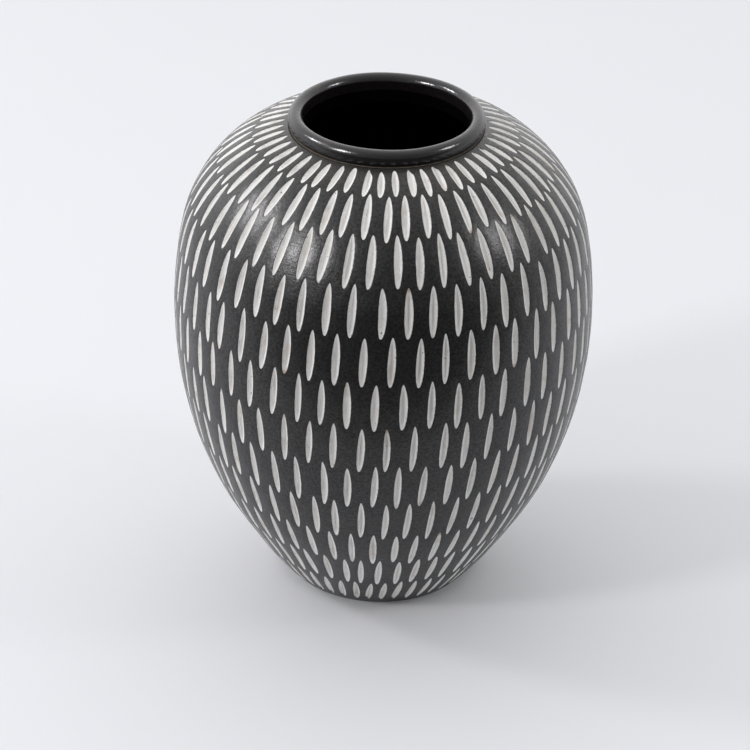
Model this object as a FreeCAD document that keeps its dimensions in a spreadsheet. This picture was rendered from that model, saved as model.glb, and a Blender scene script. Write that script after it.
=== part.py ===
import FreeCAD, Part
import Sketcher
import math
import os

# A tall round-shouldered clay vase with a rolled lip, built up the way the vase is:
# a base slab, a clay wall, a lip coil, and three thin fired coats.
# Frame: +Z up, the origin in the middle of the foot, on the surface the vase stands on.
# Millimetres throughout.

doc = FreeCAD.newDocument("carved_vase")

# How the sketcher numbers the points of a line or an arc, and its own origin.
START, END, CENTRE = 1, 2, 3
ORIGIN = (-1, 1)
ON_THE_GROUND = 0.01

# ---------------------------------------------------------------- driving dimensions

DIMENSIONS = {
    # outside of the vase: two arcs that meet tangentially above the belly
    "belly_radius": 111.3,
    "belly_height": 160.0,
    "body_arc_radius": 238.0,
    "shoulder_arc_radius": 74.3,
    "shoulder_start_angle": 11.0,
    # clay
    "wall_thickness": 7.0,
    "slab_thickness": 8.0,
    "foot_edge_radius": 1.5,
    "seat_height": 263.4,
    "neck_radius": 43.9,
    # rolled lip on the flat seat: rounded outside and on top, straight inside
    "lip_centre_radius": 47.2,
    "lip_half_width": 3.8,
    "lip_lower_height": 266.2,
    "lip_upper_height": 267.8,
    # fired coats
    "slip_thickness": 0.5,
    "slip_hem_height": 0.6,
    "glaze_thickness": 0.5,
}

sheet = doc.addObject("Spreadsheet::Sheet", "Dims")
for row, (alias, value) in enumerate(DIMENSIONS.items(), start=1):
    sheet.set(f"A{row}", alias)
    sheet.set(f"B{row}", str(value))
    sheet.setAlias(f"B{row}", alias)
doc.recompute()


def dim(alias):
    """Current value of a driving dimension."""
    return float(sheet.get(alias))


# The same two arc centres, as expressions for the constraints and as starting values.
BODY_CENTRE_R = "(Dims.belly_radius - Dims.body_arc_radius)"
ANGLE = "(Dims.shoulder_start_angle * 1 deg)"
ARC_STEP = "(Dims.body_arc_radius - Dims.shoulder_arc_radius)"

start_angle = math.radians(dim("shoulder_start_angle"))
arc_step = dim("body_arc_radius") - dim("shoulder_arc_radius")
body_centre = FreeCAD.Vector(dim("belly_radius") - dim("body_arc_radius"), dim("belly_height"), 0)
shoulder_centre = body_centre + FreeCAD.Vector(
    arc_step * math.cos(start_angle), arc_step * math.sin(start_angle), 0)


# ---------------------------------------------------------------- sketch helpers

class Outline:
    """A closed half-section in a body's XZ plane: x is the radius, y is the height."""

    def __init__(self, name):
        self.body = doc.addObject("PartDesign::Body", name)
        self.body.Label = name
        plane = next(f for f in self.body.Origin.OriginFeatures if f.Role == "XZ_Plane")
        self.sketch = self.body.newObject("Sketcher::SketchObject", name + "_section")
        self.sketch.AttachmentSupport = (plane, [""])
        self.sketch.MapMode = "FlatFace"
        self.first = None
        self.last = None

    def bind(self, constraint, expression):
        """Add a dimensional constraint and tie it to the sheet."""
        index = self.sketch.addConstraint(constraint)
        self.sketch.setExpression(f"Constraints[{index}]", expression)

    def place(self, geometry, end, x_expression=None, y_expression=None):
        """Hold one end of a piece of geometry at a radius, a height or both."""
        if x_expression:
            x = self.sketch.getPoint(geometry, end).x
            self.bind(Sketcher.Constraint("DistanceX", *ORIGIN, geometry, end, x), x_expression)
        if y_expression:
            y = self.sketch.getPoint(geometry, end).y
            self.bind(Sketcher.Constraint("DistanceY", *ORIGIN, geometry, end, y), y_expression)

    def link(self, geometry, start, end, tangent=False):
        """Join the new geometry's start to the end of the one before it."""
        if self.first is None:
            self.first = (geometry, start)
        else:
            kind = "Tangent" if tangent else "Coincident"
            self.sketch.addConstraint(Sketcher.Constraint(kind, *self.last, geometry, start))
        self.last = (geometry, end)

    def line(self, start, end, tangent=False):
        geometry = self.sketch.addGeometry(Part.LineSegment(point(start), point(end)), False)
        self.link(geometry, START, END, tangent)
        return geometry

    def arc(self, centre, radius, angle_from, angle_to, tangent=False, falling=False):
        """An arc drawn anticlockwise; falling follows it from its far end back."""
        circle = Part.Circle(point(centre), FreeCAD.Vector(0, 0, 1), radius)
        geometry = self.sketch.addGeometry(Part.ArcOfCircle(circle, angle_from, angle_to), False)
        if falling:
            self.link(geometry, END, START, tangent)
        else:
            self.link(geometry, START, END, tangent)
        return geometry

    def close(self):
        self.sketch.addConstraint(Sketcher.Constraint("Coincident", *self.last, *self.first))

    def revolve(self):
        turned = self.body.newObject("PartDesign::Revolution", self.body.Name + "_turned")
        turned.Profile = self.sketch
        turned.ReferenceAxis = (self.sketch, ["V_Axis"])
        turned.Angle = 360
        return turned


def point(pair):
    return FreeCAD.Vector(pair[0], pair[1], 0)


def angle_at_height(centre, radius, height):
    return math.asin((height - centre.y) / radius)


def angle_at_radius(centre, radius, distance):
    return math.acos((distance - centre.x) / radius)


def on_circle(centre, radius, angle):
    return (centre.x + radius * math.cos(angle), centre.y + radius * math.sin(angle))


def vessel_curve(outline, inset, inset_expression, low, high, falling=False):
    """The vase's outside curve, moved in by inset, from angle low to angle high.

    Every coat and the clay share the two arc centres, so an inset only changes the radii.
    Returns the body arc and the shoulder arc.
    """
    body_radius = dim("body_arc_radius") - inset
    shoulder_radius = dim("shoulder_arc_radius") - inset
    runs = {
        "body": (body_centre, body_radius, low, start_angle),
        "shoulder": (shoulder_centre, shoulder_radius, start_angle, high),
    }
    order = ("shoulder", "body") if falling else ("body", "shoulder")
    made = {}
    for name in order:
        made[name] = outline.arc(*runs[name], tangent=(name == order[1]), falling=falling)
    outline.bind(
        Sketcher.Constraint("Radius", made["body"], body_radius),
        f"Dims.body_arc_radius - {inset_expression}")
    outline.bind(
        Sketcher.Constraint("Radius", made["shoulder"], shoulder_radius),
        f"Dims.shoulder_arc_radius - {inset_expression}")
    outline.place(made["body"], CENTRE, BODY_CENTRE_R, "Dims.belly_height")
    outline.place(made["shoulder"], CENTRE, f"{BODY_CENTRE_R} + {ARC_STEP} * cos({ANGLE})")
    return made["body"], made["shoulder"]


# ---------------------------------------------------------------- insets of each surface

slip = dim("slip_thickness")
clay_inset = slip + dim("wall_thickness")
glaze_inset = clay_inset + dim("glaze_thickness")
SLIP = "Dims.slip_thickness"
CLAY = "(Dims.slip_thickness + Dims.wall_thickness)"
GLAZE = "(Dims.slip_thickness + Dims.wall_thickness + Dims.glaze_thickness)"


def body_angle(inset, height):
    return angle_at_height(body_centre, dim("body_arc_radius") - inset, height)


def shoulder_angle_at_seat(inset):
    return angle_at_height(shoulder_centre, dim("shoulder_arc_radius") - inset, dim("seat_height"))


def shoulder_angle_at_neck(inset, neck):
    return angle_at_radius(shoulder_centre, dim("shoulder_arc_radius") - inset, neck)


def body_point(inset, angle):
    return on_circle(body_centre, dim("body_arc_radius") - inset, angle)


def shoulder_point(inset, angle):
    return on_circle(shoulder_centre, dim("shoulder_arc_radius") - inset, angle)


# ---------------------------------------------------------------- sub-parts

def base_slab():
    """The clay disc that closes the bottom: flat underside, side in line with the wall."""
    outline = Outline("base_slab")
    thickness = dim("slab_thickness")
    low = body_angle(slip, 0)
    high = body_angle(slip, thickness)
    foot = body_point(slip, low)
    shelf = body_point(slip, high)
    bottom = outline.line((0, 0), foot)
    side = outline.arc(body_centre, dim("body_arc_radius") - slip, low, high)
    top = outline.line(shelf, (0, thickness))
    axis = outline.line((0, thickness), (0, 0))
    outline.close()
    outline.place(bottom, START, "0 mm", "0 mm")
    outline.sketch.addConstraint(Sketcher.Constraint("Horizontal", bottom))
    outline.sketch.addConstraint(Sketcher.Constraint("Horizontal", top))
    outline.sketch.addConstraint(Sketcher.Constraint("Vertical", axis))
    outline.bind(
        Sketcher.Constraint("Radius", side, dim("body_arc_radius") - slip),
        f"Dims.body_arc_radius - {SLIP}")
    outline.place(side, CENTRE, BODY_CENTRE_R, "Dims.belly_height")
    outline.place(side, END, y_expression="Dims.slab_thickness")
    turned = outline.revolve()
    doc.recompute()
    rounded = outline.body.newObject("PartDesign::Fillet", "foot_edge")
    rounded.Base = (turned, [lowest_round_edge(turned.Shape)])
    rounded.setExpression("Radius", "Dims.foot_edge_radius")
    outline.body.Tip = rounded
    return outline.body


def lowest_round_edge(shape):
    """Name of the circular edge around the foot, on the plane z = 0."""
    for index, edge in enumerate(shape.Edges, start=1):
        if isinstance(edge.Curve, Part.Circle) and abs(edge.CenterOfMass.z) < ON_THE_GROUND:
            return f"Edge{index}"
    raise ValueError("the slab has no round edge at its foot")


def clay_wall():
    """The thrown wall: it stands on the slab and ends in a flat seat around the mouth."""
    outline = Outline("clay_wall")
    thickness = dim("slab_thickness")
    neck = dim("neck_radius")
    seat = dim("seat_height")
    outer_low = body_angle(slip, thickness)
    outer_high = shoulder_angle_at_seat(slip)
    inner_low = body_angle(clay_inset, thickness)
    inner_high = shoulder_angle_at_neck(clay_inset, neck)
    outer_body, outer_shoulder = vessel_curve(outline, slip, SLIP, outer_low, outer_high)
    flat = outline.line(shoulder_point(slip, outer_high), (neck, seat))
    bore = outline.line((neck, seat), shoulder_point(clay_inset, inner_high))
    inner_body, _ = vessel_curve(outline, clay_inset, CLAY, inner_low, inner_high, falling=True)
    bottom = outline.line(body_point(clay_inset, inner_low), body_point(slip, outer_low))
    outline.close()
    outline.place(outer_body, START, y_expression="Dims.slab_thickness")
    outline.place(outer_shoulder, END, y_expression="Dims.seat_height")
    outline.sketch.addConstraint(Sketcher.Constraint("Horizontal", flat))
    outline.place(bore, START, x_expression="Dims.neck_radius")
    outline.sketch.addConstraint(Sketcher.Constraint("Vertical", bore))
    outline.sketch.addConstraint(Sketcher.Constraint("Horizontal", bottom))
    outline.revolve()
    return outline.body


def slip_coat():
    """The black slip: a skin over slab and wall, from above the foot edge to the seat."""
    outline = Outline("slip_coat")
    hem = dim("slip_hem_height")
    outer_low = body_angle(0, hem)
    outer_high = shoulder_angle_at_seat(0)
    inner_low = body_angle(slip, hem)
    inner_high = shoulder_angle_at_seat(slip)
    outer_body, outer_shoulder = vessel_curve(outline, 0, "0", outer_low, outer_high)
    top = outline.line(shoulder_point(0, outer_high), shoulder_point(slip, inner_high))
    vessel_curve(outline, slip, SLIP, inner_low, inner_high, falling=True)
    bottom = outline.line(body_point(slip, inner_low), body_point(0, outer_low))
    outline.close()
    outline.place(outer_body, START, y_expression="Dims.slip_hem_height")
    outline.place(outer_shoulder, END, y_expression="Dims.seat_height")
    outline.sketch.addConstraint(Sketcher.Constraint("Horizontal", top))
    outline.sketch.addConstraint(Sketcher.Constraint("Horizontal", bottom))
    outline.revolve()
    return outline.body


def inner_glaze():
    """The glossy lining: one cup-shaped skin over the floor, the wall and the neck bore."""
    outline = Outline("inner_glaze")
    coat = dim("glaze_thickness")
    thickness = dim("slab_thickness")
    neck = dim("neck_radius")
    seat = dim("seat_height")
    floor_top = thickness + coat
    clay_low = body_angle(clay_inset, thickness)
    clay_high = shoulder_angle_at_neck(clay_inset, neck)
    face_low = body_angle(glaze_inset, floor_top)
    face_high = shoulder_angle_at_neck(glaze_inset, neck - coat)
    under = outline.line((0, thickness), body_point(clay_inset, clay_low))
    clay_side, clay_top = vessel_curve(outline, clay_inset, CLAY, clay_low, clay_high)
    bore = outline.line(shoulder_point(clay_inset, clay_high), (neck, seat))
    lip = outline.line((neck, seat), (neck - coat, seat))
    face = outline.line((neck - coat, seat), shoulder_point(glaze_inset, face_high))
    vessel_curve(outline, glaze_inset, GLAZE, face_low, face_high, falling=True)
    floor = outline.line(body_point(glaze_inset, face_low), (0, floor_top))
    axis = outline.line((0, floor_top), (0, thickness))
    outline.close()
    outline.place(under, START, "0 mm", "Dims.slab_thickness")
    outline.sketch.addConstraint(Sketcher.Constraint("Horizontal", under))
    outline.place(bore, END, "Dims.neck_radius", "Dims.seat_height")
    outline.sketch.addConstraint(Sketcher.Constraint("Vertical", bore))
    outline.sketch.addConstraint(Sketcher.Constraint("Horizontal", lip))
    outline.place(lip, END, x_expression="Dims.neck_radius - Dims.glaze_thickness")
    outline.sketch.addConstraint(Sketcher.Constraint("Vertical", face))
    outline.sketch.addConstraint(Sketcher.Constraint("Horizontal", floor))
    outline.place(floor, END, y_expression="Dims.slab_thickness + Dims.glaze_thickness")
    outline.sketch.addConstraint(Sketcher.Constraint("Vertical", axis))
    outline.revolve()
    return outline.body


def coil_curve(outline, inset, inset_expression, falling=False):
    """The lip's section, moved in by inset: up the outside, over the top, down the inside."""
    radius = dim("lip_half_width") - inset
    lower = FreeCAD.Vector(dim("lip_centre_radius"), dim("lip_lower_height"), 0)
    upper = FreeCAD.Vector(dim("lip_centre_radius"), dim("lip_upper_height"), 0)
    dip = angle_at_height(lower, radius, dim("seat_height"))
    steps = [
        ("arc", (lower, radius, dip, 0)),
        ("line", ((lower.x + radius, lower.y), (upper.x + radius, upper.y))),
        ("arc", (upper, radius, 0, math.pi)),
        ("line", ((upper.x - radius, upper.y), coil_end(inset, -1))),
    ]
    if falling:
        steps = [(kind, shape if kind == "arc" else shape[::-1]) for kind, shape in steps[::-1]]
    made = []
    for count, (kind, shape) in enumerate(steps):
        joined = count > 0
        if kind == "arc":
            made.append(outline.arc(*shape, tangent=joined, falling=falling))
        else:
            made.append(outline.line(*shape, tangent=joined))
    if falling:
        made = made[::-1]
    outer_arc, outer_side, top_arc, inner_side = made
    for side in (outer_side, inner_side):
        outline.sketch.addConstraint(Sketcher.Constraint("Vertical", side))
    outline.bind(
        Sketcher.Constraint("Radius", top_arc, radius),
        f"Dims.lip_half_width - {inset_expression}")
    outline.place(top_arc, CENTRE, "Dims.lip_centre_radius", "Dims.lip_upper_height")
    outline.place(outer_arc, CENTRE, "Dims.lip_centre_radius", "Dims.lip_lower_height")
    outline.place(outer_arc, START, y_expression="Dims.seat_height")
    outline.place(inner_side, START if falling else END, y_expression="Dims.seat_height")
    return made


def coil_end(inset, side):
    """Where the lip's section meets the seat: side is 1 outside, -1 inside."""
    radius = dim("lip_half_width") - inset
    drop = dim("lip_lower_height") - dim("seat_height")
    reach = math.sqrt(radius ** 2 - drop ** 2) if side > 0 else -radius
    return (dim("lip_centre_radius") + reach, dim("seat_height"))


def rim_coil():
    """The rolled clay lip, flat underneath where it is luted to the seat."""
    outline = Outline("rim_coil")
    coat = dim("glaze_thickness")
    coil_curve(outline, coat, "Dims.glaze_thickness")
    outline.line(coil_end(coat, -1), coil_end(coat, 1))
    outline.close()
    outline.revolve()
    return outline.body


def rim_glaze():
    """The dark glaze over the lip: a skin open underneath, where the coil sits down."""
    outline = Outline("rim_glaze")
    coat = dim("glaze_thickness")
    coil_curve(outline, 0, "0")
    outline.line(coil_end(0, -1), coil_end(coat, -1))
    coil_curve(outline, coat, "Dims.glaze_thickness", falling=True)
    outline.line(coil_end(coat, 1), coil_end(0, 1))
    outline.close()
    outline.revolve()
    return outline.body


# ---------------------------------------------------------------- build, check and write

bodies = [make() for make in (base_slab, clay_wall, rim_coil, slip_coat, rim_glaze, inner_glaze)]
for body in bodies:
    body.Placement = FreeCAD.Placement()
doc.recompute()

for item in doc.Objects:
    if "Invalid" in item.State or "Error" in item.State:
        raise RuntimeError(f"{item.Name} failed: {item.State}")

os.makedirs("parts", exist_ok=True)
for body in bodies:
    shape = body.Shape
    if shape.isNull() or not shape.isValid() or len(shape.Solids) != 1:
        raise RuntimeError(f"{body.Label} is not one valid solid")
    shape.exportStep(os.path.join("parts", body.Label + ".step"))
    low, high = shape.BoundBox.ZMin, shape.BoundBox.ZMax
    width = shape.BoundBox.XLength
    print(f"{body.Label}: {shape.Volume / 1000:.1f} cm3, {width:.1f} wide, z {low:.1f} to {high:.1f}")
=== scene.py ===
import math

import bmesh
import bpy
import numpy as np
from mathutils import Matrix, Vector


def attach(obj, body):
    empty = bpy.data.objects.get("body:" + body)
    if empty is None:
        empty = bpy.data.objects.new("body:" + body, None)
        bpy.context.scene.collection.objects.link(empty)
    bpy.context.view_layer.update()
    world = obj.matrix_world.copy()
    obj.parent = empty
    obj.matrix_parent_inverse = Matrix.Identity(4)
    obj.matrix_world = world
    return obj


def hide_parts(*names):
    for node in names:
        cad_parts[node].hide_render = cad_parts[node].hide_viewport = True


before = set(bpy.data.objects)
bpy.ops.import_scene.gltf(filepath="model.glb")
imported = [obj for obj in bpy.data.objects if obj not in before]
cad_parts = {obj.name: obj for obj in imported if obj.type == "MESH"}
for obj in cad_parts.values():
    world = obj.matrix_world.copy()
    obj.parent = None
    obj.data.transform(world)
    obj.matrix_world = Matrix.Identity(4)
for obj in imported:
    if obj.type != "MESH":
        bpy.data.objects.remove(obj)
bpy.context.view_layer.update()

MM = 0.001
TAU = 2 * math.pi
rng = np.random.RandomState(7)

# ---------------------------------------------------------------- sizes of the vase, mm
# The outside is two arcs that meet tangentially above the belly, as in the frame.
BELLY_RADIUS = 111.3
BELLY_HEIGHT = 160.0
BODY_ARC = 238.0
SHOULDER_ARC = 74.3
SHOULDER_START = math.radians(11.0)
CLAY_INSIDE = 7.5         # depth of the wall's inner face under the slip's outer face
LINING_INSIDE = 8.0
SLAB = 8.0
SEAT = 263.4
NECK_RADIUS = 43.9
GLAZE = 0.5
LIP_RADIUS = 47.2
LIP_HALF_WIDTH = 3.8
LIP_LOW = 266.2
LIP_HIGH = 267.8

BODY_R = BELLY_RADIUS - BODY_ARC
SHOULDER_R = BODY_R + (BODY_ARC - SHOULDER_ARC) * math.cos(SHOULDER_START)
SHOULDER_Z = BELLY_HEIGHT + (BODY_ARC - SHOULDER_ARC) * math.sin(SHOULDER_START)
FOOT_ANGLE = math.asin(-BELLY_HEIGHT / BODY_ARC)
BODY_LENGTH = BODY_ARC * (SHOULDER_START - FOOT_ANGLE)
FOOT_RADIUS = BODY_R + BODY_ARC * math.cos(FOOT_ANGLE)
SEAT_ANGLE = math.asin((SEAT - SHOULDER_Z) / SHOULDER_ARC)
SEAT_S = BODY_LENGTH + SHOULDER_ARC * (SEAT_ANGLE - SHOULDER_START)

# ---------------------------------------------------------------- the tool cuts, mm
ROWS = 12
PER_ROW = 50
PITCH = TAU / PER_ROW
FRONT = math.radians(-93.2)    # where the first cut of the lowest row stands
TWIST = math.radians(0.35)     # how far each row turns on from the one below
LEAN = math.radians(2.0)
CUT_DEPTH = 1.3
SLIP_DEPTH = 0.12         # how deep the slip still reaches at the edge of a cut
SLIP_HEM = 0.8            # the lower and upper ends of the slip, along the wall
SLIP_EDGE = SEAT_S - 0.2
BACK_OF_SLIP = 0.30
FRONT_OF_CLAY = 0.36      # the clay starts this deep, just behind the slip
SIDES = 32                # points round each cut and each cell
ACROSS = 7                # points across the hollow of each cut
LAST_CUT = SLIP_EDGE - 2.4    # the top cuts are squeezed above here, to stay inside the slip
SQUEEZE = 1.6


def by_row(rows, values):
    """A value for every row of cuts, eased between a few measured rows."""
    return np.interp(np.arange(ROWS), rows, values)


ROW_HEIGHT = by_row([0, 1, 4, 9, 10, 11], [18.0, 43.8, 121.9, 251.0, 274.6, 296.2])
ROW_LENGTH = by_row([0, 1, 4, 6, 9, 10, 11], [25.3, 28.2, 29.8, 27.6, 27.9, 25.4, 18.3])
ROW_WIDTH = by_row([0, 3, 6, 8, 10, 11], [3.6, 3.6, 4.0, 4.3, 4.15, 3.9])
# How far round each row strays from an even stagger, in degrees.
ROW_DRIFT = [-0.7, -0.05, 0.4, 0.5, -0.25, -0.35, 0.6, -0.75, -0.5, 0.3, 0.0, 0.4]


# ---------------------------------------------------------------- the shape of the wall
def meridian(s, depth=0.0):
    """Radius and height at a distance s up the wall from the foot, a little under the surface."""
    s = np.asarray(s, float)
    on_body = s < BODY_LENGTH
    angle = np.where(on_body, FOOT_ANGLE + s / BODY_ARC,
                     SHOULDER_START + (s - BODY_LENGTH) / SHOULDER_ARC)
    reach = np.where(on_body, BODY_ARC, SHOULDER_ARC) - depth
    centre_r = np.where(on_body, BODY_R, SHOULDER_R)
    centre_z = np.where(on_body, BELLY_HEIGHT, SHOULDER_Z)
    return centre_r + reach * np.cos(angle), centre_z + reach * np.sin(angle)


def ease(x):
    x = np.clip(x, 0, 1)
    return x * x * (3 - 2 * x)


def hand_relief(theta, s):
    """How far the hand-turned wall stands out from the true curve, mm."""
    fade = ease((s - 4) / 30) * ease((296 - s) / 40)
    oval = 0.22 * np.cos(2 * theta + 0.6 + s / 160) + 0.10 * np.cos(3 * theta - 1.1 + s / 90)
    rings = 0.035 * np.sin(s / 2.9 + theta) + 0.05 * np.sin(s / 6.3 - theta + 1.0)
    slim_waist = -0.75 * np.exp(-((s - 42) / 22) ** 2)
    full_middle = 0.25 * np.exp(-((s - 118) / 35) ** 2)
    return fade * (oval + rings + slim_waist + full_middle)


def on_wall(theta, s, depth):
    """Points in metres. The unevenness fades out through the wall, so the inner face stays true."""
    share = np.clip(1 - (np.asarray(depth) - 0.4) / 5, 0, 1)
    r, z = meridian(s, depth - hand_relief(theta, s) * share)
    return np.stack([r * np.cos(theta), r * np.sin(theta), z], -1) * MM


# ---------------------------------------------------------------- where the cuts lie
def lay_out_cuts():
    """Centres of the cuts, with one imagined row below and one above, and the unevenness of each."""
    heights = np.concatenate([[-1.5], ROW_HEIGHT, [308.4]])
    row = np.arange(-1, ROWS + 1)[:, None]
    column = np.arange(PER_ROW)[None, :]
    theta = FRONT + PITCH / 2 * (row % 2) + TWIST * row + PITCH * column
    s = np.repeat(heights[:, None], PER_ROW, 1)
    real = (row >= 0) & (row < ROWS)
    row_shift = np.radians(rng.normal(0, 0.45, (ROWS + 2, 1)))
    row_shift[1:-1, 0] += np.radians(ROW_DRIFT)
    theta = theta + real * (row_shift + np.radians(rng.normal(0, 0.33, s.shape)))
    s = s + real * rng.normal(0, 0.65, s.shape)
    s[-2] = s[-2] - rng.uniform(0, 0.4, PER_ROW)
    return theta, s


CUT_THETA, CUT_S = lay_out_cuts()


def centre(row, column):
    """Angle and height of the cuts at these rows and columns, counted past the seam if need be."""
    turns, inside = np.divmod(column, PER_ROW)
    return np.stack([CUT_THETA[row + 1, inside] + TAU * turns, CUT_S[row + 1, inside]], -1)


def meeting_point(own, left, right):
    """The corner of a cell that lies between the two cuts of the next row."""
    return 0.2 * own + 0.4 * (left + right)


def cell_corners(row, column):
    """Six corners round each cut, from upper right and turning left."""
    shift = row % 2
    here = centre(row, column)
    before, after = centre(row, column - 1), centre(row, column + 1)
    up_left, up_right = centre(row + 1, column - 1 + shift), centre(row + 1, column + shift)
    low_left, low_right = centre(row - 1, column - 1 + shift), centre(row - 1, column + shift)
    return np.stack([meeting_point(up_right, here, after), meeting_point(here, up_left, up_right),
                     meeting_point(up_left, before, here), meeting_point(low_left, before, here),
                     meeting_point(here, low_left, low_right),
                     meeting_point(low_right, here, after)], 1)


def cell_boundary(row, column):
    """Points round each cell, from the middle of its right side and turning left."""
    corners = cell_corners(row, column)
    steps = [4, 4, 8, 4, 4, 8]
    points = []
    for side in range(6):
        start, end = corners[:, side], corners[:, (side + 1) % 6]
        for k in range(steps[side]):
            points.append(start + (end - start) * k / steps[side])
    return np.roll(np.stack(points, 1), 4, axis=1)


ROW, COLUMN = [grid.ravel() for grid in
               np.meshgrid(np.arange(ROWS), np.arange(PER_ROW), indexing="ij")]
CELLS = len(ROW)
BOUNDARY = cell_boundary(ROW, COLUMN)
MIDDLE = centre(ROW, COLUMN)
TURN = TAU * np.arange(SIDES) / SIDES


def uneven_cuts():
    """Half length, half width, lean, bend and depth of every cut."""
    length = ROW_LENGTH[ROW] + rng.normal(0, 0.8, CELLS)
    width = ROW_WIDTH[ROW] * (1 + rng.normal(0, 0.045, CELLS))
    lean = LEAN + np.radians(rng.normal(0, 1.3, CELLS)) + np.radians(3.0) * (ROW == 0)
    bend = rng.normal(0.22, 0.22, CELLS)
    depth = CUT_DEPTH * (width / 4.2) * (1 + rng.normal(0, 0.08, CELLS))
    ragged = rng.normal(0, 0.018, (CELLS, SIDES))
    return length / 2, width / 2, lean, bend, depth, ragged


HALF_LENGTH, HALF_WIDTH, CUT_LEAN, CUT_BEND, DEPTH, RAGGED = uneven_cuts()
CHANCE = rng.uniform(0, 1, CELLS)


def leaf_width(t):
    """Width of a cut along its length: pointed at both ends, sharper at the top."""
    bare = np.maximum(1 - t * t, 0)
    return bare ** (0.54 + 0.07 * t) * (1 - 0.06 * t)


def in_cut(x, y):
    """Angle and height of points given across and along each cut."""
    lean, bend = CUT_LEAN[:, None], CUT_BEND[:, None]
    t = y / HALF_LENGTH[:, None]
    x = x + bend * (1 - t * t)
    s = MIDDLE[:, 1:] + y * np.cos(lean) - x * np.sin(lean)
    s = np.minimum(s, LAST_CUT) + SQUEEZE * np.tanh(np.maximum(s - LAST_CUT, 0) / SQUEEZE)
    r, _ = meridian(s)
    return MIDDLE[:, :1] + (x * np.cos(lean) + y * np.sin(lean)) / r, s


def outline(tip, side):
    """The edge of each cut, or a line that far outside it."""
    t = np.sin(TURN)[None, :]
    x = (HALF_WIDTH[:, None] * (1 + RAGGED) + side) * leaf_width(t) * np.sign(np.cos(TURN))
    return in_cut(x, (HALF_LENGTH[:, None] + tip) * t)


# ---------------------------------------------------------------- putting meshes together
class Shell:
    """Points, faces and per-point values of one piece, gathered part by part."""

    def __init__(self, *values):
        self.points, self.faces, self.count = [], [], 0
        self.values = {name: [] for name in values}

    def add(self, points, **values):
        index = self.count + np.arange(points[..., 0].size).reshape(points.shape[:-1])
        self.points.append(points.reshape(-1, 3))
        for name, kept in self.values.items():
            kept.append(np.broadcast_to(values.get(name, 0.0), points.shape[:-1]).ravel())
        self.count += index.size
        return index

    def quads(self, a, b, c, d):
        self.faces.append(np.stack([a.ravel(), b.ravel(), c.ravel(), d.ravel()], 1))

    def ring(self, inner, outer, flip=False):
        """Faces between two closed rings of points, per cell."""
        near, far = np.roll(inner, -1, -1), np.roll(outer, -1, -1)
        if flip:
            self.quads(inner, near, far, outer)
        else:
            self.quads(inner, outer, far, near)

    def finish(self, name, sharp):
        points = np.concatenate(self.points)
        faces = np.concatenate(self.faces)
        mesh = bpy.data.meshes.new(name)
        mesh.from_pydata(points.tolist(), [], faces.tolist())
        for key, kept in self.values.items():
            layer = mesh.attributes.new(key, "FLOAT", "POINT")
            layer.data.foreach_set("value", np.concatenate(kept).astype(np.float32))
        weld(mesh)
        mesh.shade_smooth()
        mesh.set_sharp_from_angle(angle=math.radians(sharp))
        piece = bpy.data.objects.new(name, mesh)
        bpy.context.scene.collection.objects.link(piece)
        return piece


def weld(mesh):
    work = bmesh.new()
    work.from_mesh(mesh)
    bmesh.ops.remove_doubles(work, verts=work.verts, dist=2e-6)
    bmesh.ops.dissolve_degenerate(work, edges=work.edges, dist=1e-7)
    work.to_mesh(mesh)
    work.free()


def wall_points(shell, theta, s, depth, **values):
    theta, s = np.broadcast_arrays(theta, s)
    return shell.add(on_wall(theta, s, depth), up=s, **values)


def flat_ring(shell, turn, radius, height, **values):
    flat = np.stack([radius * np.cos(turn), radius * np.sin(turn), np.full_like(turn, height)], -1)
    return shell.add(flat * MM, up=SLIP_EDGE, **values)


def band_edges():
    """The lower edge of the lowest cells and the upper edge of the highest, by rising angle."""
    low = BOUNDARY[ROW == 0][:, 20:28].reshape(-1, 2)
    high = BOUNDARY[ROW == ROWS - 1][:, 12:4:-1].reshape(-1, 2)
    return low, high


# ---------------------------------------------------------------- the black slip, cut through
def carve_slip():
    shell = Shell("up", "edge")
    hex_theta, hex_s = BOUNDARY[..., 0], BOUNDARY[..., 1]
    cut_theta, cut_s = outline(0.0, 0.0)
    lip_theta, lip_s = outline(0.42, 0.15)
    top_theta, top_s = outline(0.70, 0.29)
    cut = wall_points(shell, cut_theta, cut_s, SLIP_DEPTH, edge=1.0)
    lip = wall_points(shell, lip_theta, lip_s, 0.025, edge=0.8)
    top = wall_points(shell, top_theta, top_s, 0.0, edge=0.3)
    out = wall_points(shell, hex_theta, hex_s, 0.0)
    back = wall_points(shell, hex_theta, hex_s, BACK_OF_SLIP)
    for inner, outer in ((cut, lip), (lip, top), (top, out)):
        shell.ring(inner, outer)
    shell.ring(cut, back, flip=True)

    low, high = band_edges()
    for edge, end, flip in ((low, SLIP_HEM, True), (high, SLIP_EDGE, False)):
        theta, s = edge[:, 0], edge[:, 1]
        rings = [wall_points(shell, theta, s + (end - s) * part, depth)
                 for part, depth in ((0, 0), (0.5, 0), (0.93, 0), (1, 0.06), (1, 0.22),
                                     (0.93, BACK_OF_SLIP), (0.5, BACK_OF_SLIP), (0, BACK_OF_SLIP))]
        if end == SLIP_EDGE:
            rings[3:5] = [flat_ring(shell, theta, radius, SEAT + above)
                          for radius, above in ((51.75, 0.10), (51.3, 0.14), (50.85, 0.12), (50.6, 0.0))]
        for near, far in zip(rings, rings[1:]):
            shell.ring(near, far, flip=not flip)
    return shell.finish("slip_coat_carved", sharp=38)


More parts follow.
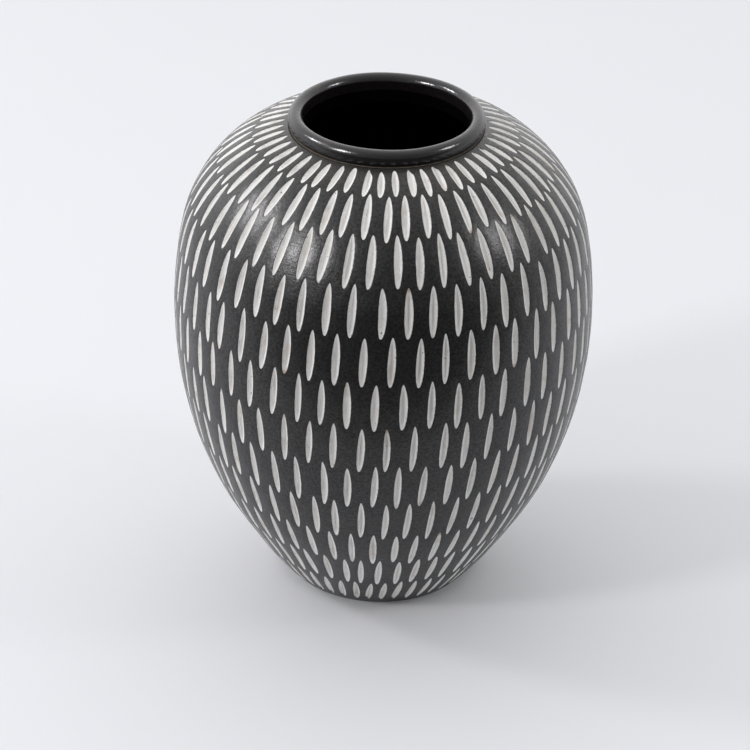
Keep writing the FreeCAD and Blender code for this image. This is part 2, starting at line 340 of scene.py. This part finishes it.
# ---------------------------------------------------------------- the white wall with its grooves
def groove_grid():
    """Points in the hollow of every cut, across and along it."""
    k = np.arange(-8, 9)
    angle = TAU * k / SIDES
    t = np.sin(angle)
    width = HALF_WIDTH[:, None] * leaf_width(t)[None, :]
    right = width * (1 + RAGGED[:, k % SIDES])
    left = width * (1 + RAGGED[:, (16 - k) % SIDES])
    u = np.linspace(-1, 1, ACROSS)
    x = np.where(u > 0, right[..., None] * u, left[..., None] * u)
    y = np.broadcast_to((HALF_LENGTH[:, None] * t)[..., None], x.shape)
    theta, s = in_cut(x.reshape(CELLS, -1), y.reshape(CELLS, -1))
    hollow = (1 - t * t)[:, None] ** 1.2 * (1 - np.abs(u) ** 1.8)
    depth = SLIP_DEPTH + DEPTH[:, None, None] * hollow
    return theta.reshape(x.shape), s.reshape(x.shape), depth, u, t


def carve_wall():
    shell = Shell("up", "across", "along", "chance")
    theta, s, depth, u, t = groove_grid()
    grid = wall_points(shell, theta, s, depth, across=u[None, None, :], along=t[None, :, None],
                       chance=CHANCE[:, None, None])
    shell.quads(grid[:, :-1, :-1], grid[:, :-1, 1:], grid[:, 1:, 1:], grid[:, 1:, :-1])

    cut_theta, cut_s = outline(0.0, 0.0)
    cut = wall_points(shell, cut_theta, cut_s, SLIP_DEPTH, across=1.0,
                      along=np.sin(TURN)[None, :], chance=CHANCE[:, None])
    out = wall_points(shell, BOUNDARY[..., 0], BOUNDARY[..., 1], FRONT_OF_CLAY, across=2.0)
    shell.ring(cut, out)

    low, high = band_edges()
    close_wall(shell, low, high)
    return shell.finish("clay_wall_carved", sharp=38)


def close_wall(shell, low, high):
    """The rest of the wall: under the skirt that covers the slab, up the inside and over the seat."""
    skirt_end, skirt_depth = 1.8, 2.7
    rings = [wall_points(shell, low[:, 0], low[:, 1], FRONT_OF_CLAY, across=2.0),
             wall_points(shell, low[:, 0], skirt_end, FRONT_OF_CLAY, across=2.0),
             wall_points(shell, low[:, 0], skirt_end, skirt_depth, across=2.0)]
    above_slab = SLAB + 0.02
    inside_foot = (above_slab - BELLY_HEIGHT) / (BODY_ARC - CLAY_INSIDE)
    first = BODY_ARC * (math.asin(inside_foot) - FOOT_ANGLE)
    at_neck = math.acos((NECK_RADIUS - SHOULDER_R) / (SHOULDER_ARC - CLAY_INSIDE))
    last = BODY_LENGTH + SHOULDER_ARC * (at_neck - SHOULDER_START)
    under = (above_slab - BELLY_HEIGHT) / (BODY_ARC - skirt_depth)
    skirt_top = BODY_ARC * (math.asin(under) - FOOT_ANGLE)
    rings.append(wall_points(shell, low[:, 0], skirt_top, skirt_depth, across=2.0))
    # The rings are close enough that their chords stay outside the lining.
    body_rings, shoulder_rings = 18, 14
    up_the_body = np.linspace(first, BODY_LENGTH, body_rings)
    over_the_shoulder = np.linspace(BODY_LENGTH, last, shoulder_rings)[1:]
    for s in np.concatenate([up_the_body, over_the_shoulder]):
        turn = low[:, 0] + (high[:, 0] - low[:, 0]) * (s - first) / (last - first)
        rings.append(wall_points(shell, turn, s, CLAY_INSIDE, across=2.0))
    turn = high[:, 0]
    seat_edge, _ = meridian(SLIP_EDGE, FRONT_OF_CLAY)
    for radius in (NECK_RADIUS, 49.5, float(seat_edge) - 0.25):
        rings.append(flat_ring(shell, turn, radius, SEAT, across=2.0))
    rings.append(wall_points(shell, turn, SLIP_EDGE, FRONT_OF_CLAY, across=2.0))
    rings.append(wall_points(shell, turn, high[:, 1], FRONT_OF_CLAY, across=2.0))
    for near, far in zip(rings, rings[1:]):
        shell.ring(near, far, flip=False)


# ---------------------------------------------------------------- turned pieces
def lathe(name, profile, segments, sharp, closed=True, wobble=None):
    """A closed turned piece from radius and height pairs, mm."""
    theta = TAU * np.arange(segments) / segments
    shell = Shell("up")
    rings = []
    for radius, height in profile:
        radius, height = np.full(segments, radius), np.full(segments, height)
        if wobble is not None:
            radius, height = wobble(theta, radius, height)
        points = np.stack([radius * np.cos(theta), radius * np.sin(theta), height], -1)
        rings.append(shell.add(points * MM, up=height))
    if closed:
        rings.append(rings[0])
    for near, far in zip(rings, rings[1:]):
        shell.ring(near, far, flip=True)
    return shell.finish(name, sharp)


def arc(centre_r, centre_z, radius, start, end, count):
    """Radius and height pairs along an arc, given in degrees."""
    angles = np.radians(np.linspace(start, end, count))
    return [(centre_r + radius * math.cos(a), centre_z + radius * math.sin(a)) for a in angles]


def lip_section(half_width, inside):
    """The lip: a rolled outside and top, and a straight inside."""
    low = math.degrees(math.asin((SEAT - LIP_LOW) / half_width))
    return (arc(LIP_RADIUS, LIP_LOW, half_width, low, 0, 12)
            + arc(LIP_RADIUS, LIP_HIGH, half_width, 0, 180, 26)
            + [(inside, 266.4), (inside, 264.8), (inside, SEAT)])


def lip_wobble(theta, radius, height):
    above = ease((height - SEAT) / 3)
    radius = radius + above * (0.13 * np.cos(2 * theta + 0.5) + 0.06 * np.cos(5 * theta + 2.0))
    height = height + above * (0.10 * np.cos(3 * theta - 0.4) + 0.05 * np.cos(7 * theta))
    return radius, height


def turn_lip_glaze():
    outer = lip_section(LIP_HALF_WIDTH, NECK_RADIUS - GLAZE)
    inner = lip_section(LIP_HALF_WIDTH - GLAZE, NECK_RADIUS)
    return lathe("rim_glaze_coat", outer + inner[::-1], 224, sharp=60, wobble=lip_wobble)


def turn_lining():
    """The black lining, with the rings that fingers leave inside a thrown pot."""
    def up_the_wall(depth, floor, top_radius, count):
        start = math.asin((floor - BELLY_HEIGHT) / (BODY_ARC - depth))
        end = math.acos((top_radius - SHOULDER_R) / (SHOULDER_ARC - depth))
        low = BODY_ARC * (start - FOOT_ANGLE)
        high = BODY_LENGTH + SHOULDER_ARC * (end - SHOULDER_START)
        s = np.linspace(low, high, count)
        r, z = meridian(s, depth)
        return list(zip(r, z))

    mouth = NECK_RADIUS - GLAZE
    outer = [(0.0, SLAB), (30.0, SLAB)]
    outer += up_the_wall(CLAY_INSIDE, SLAB, NECK_RADIUS, 24) + [(NECK_RADIUS, SEAT)]
    inner = [(radius, SLAB + GLAZE) for radius in (0.0, 12.0, 24.0, 36.0)]
    inner += up_the_wall(LINING_INSIDE, SLAB + GLAZE, mouth, 110) + [(mouth, 260.0), (mouth, SEAT)]

    def finger_rings(theta, radius, height):
        s = height
        middle = ease((s - 14) / 30) * ease((254 - s) / 16)
        thrown = -0.16 * (1 + np.sin(s / 1.9 + theta)) * middle
        return radius + np.where(radius > 0, thrown, 0), height

    return lathe("inner_glaze_lining", outer + inner[::-1], 160, sharp=50, closed=False,
                 wobble=finger_rings)


def turn_slab():
    """The slab under the pot, pared round its edge and slightly hollow underneath."""
    edge, skirt_depth, hollow_radius = 1.5, 2.75, 46.5
    side = []
    for s in np.linspace(1.9, 1.2, 3):
        r, z = meridian(s, 0.5)
        side.append((float(r), float(z)))
    skirt_r, skirt_z = meridian(1.95, skirt_depth)
    under = (SLAB - BELLY_HEIGHT) / (BODY_ARC - skirt_depth)
    top_r, _ = meridian(BODY_ARC * (math.asin(under) - FOOT_ANGLE), skirt_depth)
    profile = [(0.0, SLAB), (float(top_r), SLAB), (float(skirt_r), float(skirt_z))] + side
    foot = FOOT_RADIUS - 0.4
    profile += [(foot - edge + edge * math.cos(a), edge + edge * math.sin(a))
                for a in np.radians([-35, -50, -65, -80, -90])]
    for radius in np.linspace(hollow_radius, 0.0, 60):
        turned = 0.05 * ease((46 - radius) / 4) * math.sin(radius * 1.9)
        hollow = 0.35 * ease((hollow_radius - radius) / 6) + turned
        profile.append((radius, max(0.0, hollow)))
    return lathe("base_slab_pared", profile[::-1], 160, sharp=35, closed=False)


# ---------------------------------------------------------------- materials
class Look:
    """A procedural material, with short names for its nodes."""

    def __init__(self, name):
        self.material = bpy.data.materials.new(name)
        self.material.use_nodes = True
        self.tree = self.material.node_tree
        self.shader = self.tree.nodes["Principled BSDF"]

    def node(self, kind, **settings):
        made = self.tree.nodes.new(kind)
        for key, value in settings.items():
            setattr(made, key, value)
        return made

    def feed(self, socket, value):
        if isinstance(value, bpy.types.NodeSocket):
            self.tree.links.new(value, socket)
        else:
            socket.default_value = value

    def value(self, name):
        return self.node("ShaderNodeAttribute", attribute_name=name).outputs["Fac"]

    def place(self):
        return self.node("ShaderNodeTexCoord").outputs["Object"]

    def stretched(self, vector, scale):
        made = self.node("ShaderNodeVectorMath", operation="MULTIPLY")
        self.feed(made.inputs[0], vector)
        self.feed(made.inputs[1], scale)
        return made.outputs[0]

    def vector(self, x, y, z):
        made = self.node("ShaderNodeCombineXYZ")
        for socket, value in zip(made.inputs, (x, y, z)):
            self.feed(socket, value)
        return made.outputs[0]

    def noise(self, vector, scale, detail=3.0, roughness=0.55):
        made = self.node("ShaderNodeTexNoise")
        self.feed(made.inputs["Vector"], vector)
        self.feed(made.inputs["Scale"], scale)
        self.feed(made.inputs["Detail"], detail)
        self.feed(made.inputs["Roughness"], roughness)
        return made.outputs["Fac"]

    def ramp(self, value, low, high, to_low=0.0, to_high=1.0):
        made = self.node("ShaderNodeMapRange", interpolation_type="SMOOTHSTEP")
        for socket, given in zip(made.inputs, (value, low, high, to_low, to_high)):
            self.feed(socket, given)
        return made.outputs[0]

    def math(self, operation, a, b=0.0):
        made = self.node("ShaderNodeMath", operation=operation)
        self.feed(made.inputs[0], a)
        self.feed(made.inputs[1], b)
        return made.outputs[0]

    def blend(self, amount, first, second):
        made = self.node("ShaderNodeMix", data_type="RGBA")
        self.feed(made.inputs["Factor"], amount)
        for key, colour in (("A", first), ("B", second)):
            socket = [one for one in made.inputs if one.name == key and one.type == "RGBA"][0]
            self.feed(socket, colour if isinstance(colour, bpy.types.NodeSocket) else (*colour, 1.0))
        return [one for one in made.outputs if one.type == "RGBA"][0]

    def bump(self, height, distance, below=None):
        made = self.node("ShaderNodeBump")
        self.feed(made.inputs["Height"], height)
        made.inputs["Distance"].default_value = distance
        made.inputs["Strength"].default_value = 1.0
        if below is not None:
            self.feed(made.inputs["Normal"], below)
        return made.outputs["Normal"]

    def done(self, colour, roughness, normal, specular=0.6):
        self.feed(self.shader.inputs["Base Color"], colour)
        self.feed(self.shader.inputs["Roughness"], roughness)
        self.feed(self.shader.inputs["Normal"], normal)
        self.feed(self.shader.inputs["Specular IOR Level"], specular)
        return self.material


def black_slip():
    """Satin charcoal slip, brushed round the pot, dusted a little brown under the lip."""
    look = Look("black slip")
    place, up = look.place(), look.value("up")
    x = look.node("ShaderNodeSeparateXYZ")
    look.feed(x.inputs[0], place)
    round_pot = look.vector(look.math("MULTIPLY", x.outputs[0], 28.0),
                            look.math("MULTIPLY", x.outputs[1], 28.0),
                            look.math("MULTIPLY", up, 1.1))
    strokes = look.noise(round_pot, 1.0, 4.0, 0.62)
    patches = look.noise(place, 26.0, 4.0, 0.6)
    grain = look.noise(place, 780.0, 3.0, 0.75)
    speckle = look.ramp(grain, 0.38, 0.62)
    colour = look.blend(look.ramp(strokes, 0.30, 0.72),
                        (0.0030, 0.0028, 0.0028), (0.0065, 0.0060, 0.0060))
    colour = look.blend(look.ramp(patches, 0.50, 0.75, 0.0, 0.5), colour, (0.012, 0.0112, 0.0108))
    dust = look.math("MULTIPLY", look.ramp(up, 280.0, 303.0),
                     look.ramp(patches, 0.30, 0.70, 0.15, 0.8))
    colour = look.blend(dust, colour, (0.022, 0.018, 0.012))
    chipped = look.math("MULTIPLY", look.ramp(look.value("edge"), 0.35, 1.0),
                        look.ramp(look.noise(place, 900.0, 3.0), 0.60, 0.70))
    colour = look.blend(chipped, colour, (0.13, 0.12, 0.11))
    uneven = look.math("ADD", look.math("MULTIPLY", strokes, 0.5), look.math("MULTIPLY", patches, 0.5))
    rough = look.ramp(uneven, 0.30, 0.70, 0.38, 0.50)
    look.feed(look.shader.inputs["Coat Weight"], look.ramp(speckle, 0.0, 1.0, 0.42, 0.66))
    look.shader.inputs["Coat Roughness"].default_value = 0.25
    look.feed(look.shader.inputs["Coat Normal"], look.bump(grain, 0.00009, look.bump(strokes, 0.00006)))
    normal = look.bump(grain, 0.00025, look.bump(strokes, 0.00012))
    return look.done(colour, rough, normal, specular=look.ramp(speckle, 0.0, 1.0, 0.18, 0.34))


def white_clay(name, cuts):
    """Chalky off-white clay. In the cuts it shows the tool's streaks and a few stains, with painted
    shade down the middle and along the edges of each cut.
    """
    look = Look(name)
    place = look.place()
    grain = look.noise(place, 1500.0, 4.0, 0.65)
    cloud = look.noise(place, 55.0, 3.0)
    colour = look.blend(look.ramp(grain, 0.30, 0.70), (0.80, 0.79, 0.765), (0.90, 0.89, 0.87))
    colour = look.blend(look.ramp(cloud, 0.45, 0.75, 0.0, 0.35), colour, (0.76, 0.72, 0.65))
    height = grain
    bare_line = look.math("GREATER_THAN", look.value("up"), SLIP_EDGE - 0.5)
    colour = look.blend(bare_line, colour, (0.30, 0.235, 0.165))
    if cuts:
        across, along, chance = look.value("across"), look.value("along"), look.value("chance")
        streak_place = look.vector(look.math("MULTIPLY", across, 3.2),
                                   look.math("MULTIPLY", along, 1.3),
                                   look.math("MULTIPLY", chance, 97.0))
        streaks = look.noise(streak_place, 1.0, 3.0, 0.6)
        colour = look.blend(look.ramp(streaks, 0.46, 0.74, 0.0, 0.55), colour, (0.52, 0.51, 0.49))
        # painted shade: a grey streak down the middle of each cut, where the groove's crease lies in
        # shade
        strayed = look.math("ADD", across, look.ramp(streaks, 0.3, 0.7, -0.22, 0.22))
        hollow = look.ramp(look.math("ABSOLUTE", strayed), 0.12, 0.50, 1.0, 0.0)
        hollow = look.math("MULTIPLY", hollow,
                           look.ramp(look.math("ABSOLUTE", along), 0.55, 0.95, 1.0, 0.0))
        strength = look.ramp(chance, 0.0, 1.0, 0.20, 0.65)
        colour = look.blend(look.math("MULTIPLY", hollow, strength), colour, (0.47, 0.455, 0.435))
        tips = look.ramp(look.math("ABSOLUTE", along), 0.72, 1.0)
        stain = look.math("MULTIPLY", look.ramp(look.noise(place, 75.0, 2.0), 0.58, 0.72),
                          look.ramp(tips, 0.0, 1.0, 0.25, 0.9))
        colour = look.blend(stain, colour, (0.36, 0.24, 0.15))
        specks = look.ramp(look.noise(place, 620.0, 2.0), 0.715, 0.745)
        colour = look.blend(specks, colour, (0.10, 0.08, 0.07))
        # painted shade: a dark line along the edges of each cut, under the slip's cut wall
        rim = look.math("MULTIPLY", look.ramp(look.math("ABSOLUTE", across), 0.84, 1.0),
                        look.ramp(look.noise(place, 1300.0, 2.0), 0.40, 0.62, 0.15, 0.85))
        colour = look.blend(rim, colour, (0.12, 0.115, 0.11))
        height = look.math("ADD", look.math("MULTIPLY", grain, 0.35), streaks)
    return look.done(colour, 0.82, look.bump(height, 0.00008), specular=0.35)


def lip_glaze():
    """Glossy purplish black, rubbed warm brown here and there on its crown."""
    look = Look("lip glaze")
    place = look.place()
    cloud = look.noise(place, 40.0, 3.0)
    fine = look.noise(place, 700.0, 3.0)
    colour = look.blend(look.ramp(fine, 0.3, 0.7), (0.0075, 0.0060, 0.0068), (0.0120, 0.0100, 0.0108))
    worn = look.math("MULTIPLY", look.ramp(cloud, 0.52, 0.72), look.ramp(look.value("up"), 269.0, 271.4))
    colour = look.blend(worn, colour, (0.050, 0.030, 0.020))
    rough = look.ramp(cloud, 0.3, 0.7, 0.15, 0.25)
    return look.done(colour, rough, look.bump(look.noise(place, 380.0, 3.0), 0.00012))


def black_lining():
    """The near-black inside of the pot, darkened far below its black glaze as painted shade deep inside.
    """
    look = Look("black lining")
    place = look.place()
    cloud = look.noise(place, 30.0, 3.0)
    # painted shade: far darker than a black glaze, standing for the shade inside the pot
    colour = look.blend(cloud, (0.0007, 0.0006, 0.0006), (0.0014, 0.0012, 0.0012))
    rough = look.ramp(cloud, 0.3, 0.7, 0.80, 0.90)
    return look.done(colour, rough, look.bump(look.noise(place, 180.0, 3.0), 0.00002), specular=0.01)


def pale_floor():
    """A pale table top, with painted shade on it in front of the picture's lower edge, for the unlit
    room on the camera's side.
    """
    look = Look("pale floor")
    place = look.place()
    colour = look.blend(look.noise(place, 3.0, 3.0), (0.735, 0.74, 0.765), (0.76, 0.765, 0.785))
    away = look.node("ShaderNodeSeparateXYZ")
    look.feed(away.inputs[0], place)
    # painted shade: the floor turns dark in front, standing for the unlit room on the camera's side
    colour = look.blend(look.ramp(away.outputs[1], -0.40, -0.22, 1.0, 0.0), colour, (0.07, 0.07, 0.072))
    return look.done(colour, 0.7, look.bump(look.noise(place, 240.0, 3.0), 0.00005), specular=0.2)


# ---------------------------------------------------------------- assembling
def dress(piece, node, material):
    piece.data.materials.clear()
    piece.data.materials.append(material)
    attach(piece, "root")
    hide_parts(node)


def build_vase():
    clay = white_clay("white clay", cuts=False)
    dress(carve_slip(), "slip_coat", black_slip())
    dress(carve_wall(), "clay_wall", white_clay("cut white clay", cuts=True))
    dress(turn_slab(), "base_slab", clay)
    dress(turn_lip_glaze(), "rim_glaze", lip_glaze())
    dress(turn_lining(), "inner_glaze", black_lining())
    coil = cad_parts["rim_coil"]
    coil.data.materials.clear()
    coil.data.materials.append(clay)


def lay_floor():
    mesh = bpy.data.meshes.new("floor")
    half = 4.0
    corners = [(-half, -half, 0), (half, -half, 0), (half, half, 0), (-half, half, 0)]
    mesh.from_pydata(corners, [], [(0, 1, 2, 3)])
    floor = bpy.data.objects.new("floor", mesh)
    bpy.context.scene.collection.objects.link(floor)
    mesh.materials.append(pale_floor())


def aimed(place, target, roll=0.0):
    """A matrix at a place that looks at the target, rolled a little."""
    forward = (Vector(target) - Vector(place)).normalized()
    side = forward.cross(Vector((0, 0, 1))).normalized()
    top = side.cross(forward)
    right = side * math.cos(roll) + top * math.sin(roll)
    above = top * math.cos(roll) - side * math.sin(roll)
    matrix = Matrix((right, above, -forward)).transposed().to_4x4()
    matrix.translation = Vector(place)
    return matrix


def set_camera():
    """The photo's view: from the front, about 30 degrees above the level."""
    data = bpy.data.cameras.new("camera")
    data.lens = 158.79
    data.sensor_width = 36.0
    camera = bpy.data.objects.new("camera", data)
    bpy.context.scene.collection.objects.link(camera)
    camera.matrix_world = aimed((0.0, -1.5523, 1.0012), (-0.00362, 0.0, 0.11416), math.radians(1.083))
    bpy.context.scene.camera = camera


def soft_box(name, azimuth, elevation, distance, size, power, sheen_only=False):
    """A soft box, placed by its direction from the pot: azimuth from the front, to the right."""
    a, e = math.radians(azimuth), math.radians(elevation)
    target = Vector((0, 0, 0.15))
    way = Vector((math.sin(a) * math.cos(e), -math.cos(a) * math.cos(e), math.sin(e)))
    data = bpy.data.lights.new(name, "AREA")
    data.size, data.energy = size, power
    data.color = (0.985, 0.975, 1.0)
    box = bpy.data.objects.new(name, data)
    bpy.context.scene.collection.objects.link(box)
    box.matrix_world = aimed(target + way * distance, target)
    box.visible_diffuse = not sheen_only


def light_studio():
    """A soft sky that is brighter behind, and three soft boxes, each with a larger one for its sheen."""
    world = bpy.data.worlds.new("studio")
    bpy.context.scene.world = world
    world.use_nodes = True
    tree = world.node_tree
    sky = tree.nodes["Background"]
    way = tree.nodes.new("ShaderNodeTexCoord").outputs["Generated"]
    slope = tree.nodes.new("ShaderNodeVectorMath")
    slope.operation = "DOT_PRODUCT"
    tree.links.new(way, slope.inputs[0])
    slope.inputs[1].default_value = (-0.17, 0.64, -0.10)
    bright = tree.nodes.new("ShaderNodeMath")
    bright.operation = "ADD"
    tree.links.new(slope.outputs["Value"], bright.inputs[0])
    bright.inputs[1].default_value = 0.96
    tree.links.new(bright.outputs[0], sky.inputs["Strength"])
    sky.inputs["Color"].default_value = (0.985, 0.99, 1.0, 1.0)
    soft_box("key", -57, 34, 2.6, 0.38, 14.5)
    soft_box("key sheen", -57, 33, 2.5, 0.66, 24.0, sheen_only=True)
    soft_box("side", -99, 35, 2.6, 0.40, 12.5)
    soft_box("side sheen", -98, 33, 2.5, 0.64, 13.0, sheen_only=True)
    soft_box("fill", 80, 35, 2.2, 0.45, 4.5)
    soft_box("fill sheen", 80, 35, 2.1, 0.50, 7.0, sheen_only=True)
    bpy.context.scene.view_settings.view_transform = "Standard"


build_vase()
lay_floor()
set_camera()
light_studio()
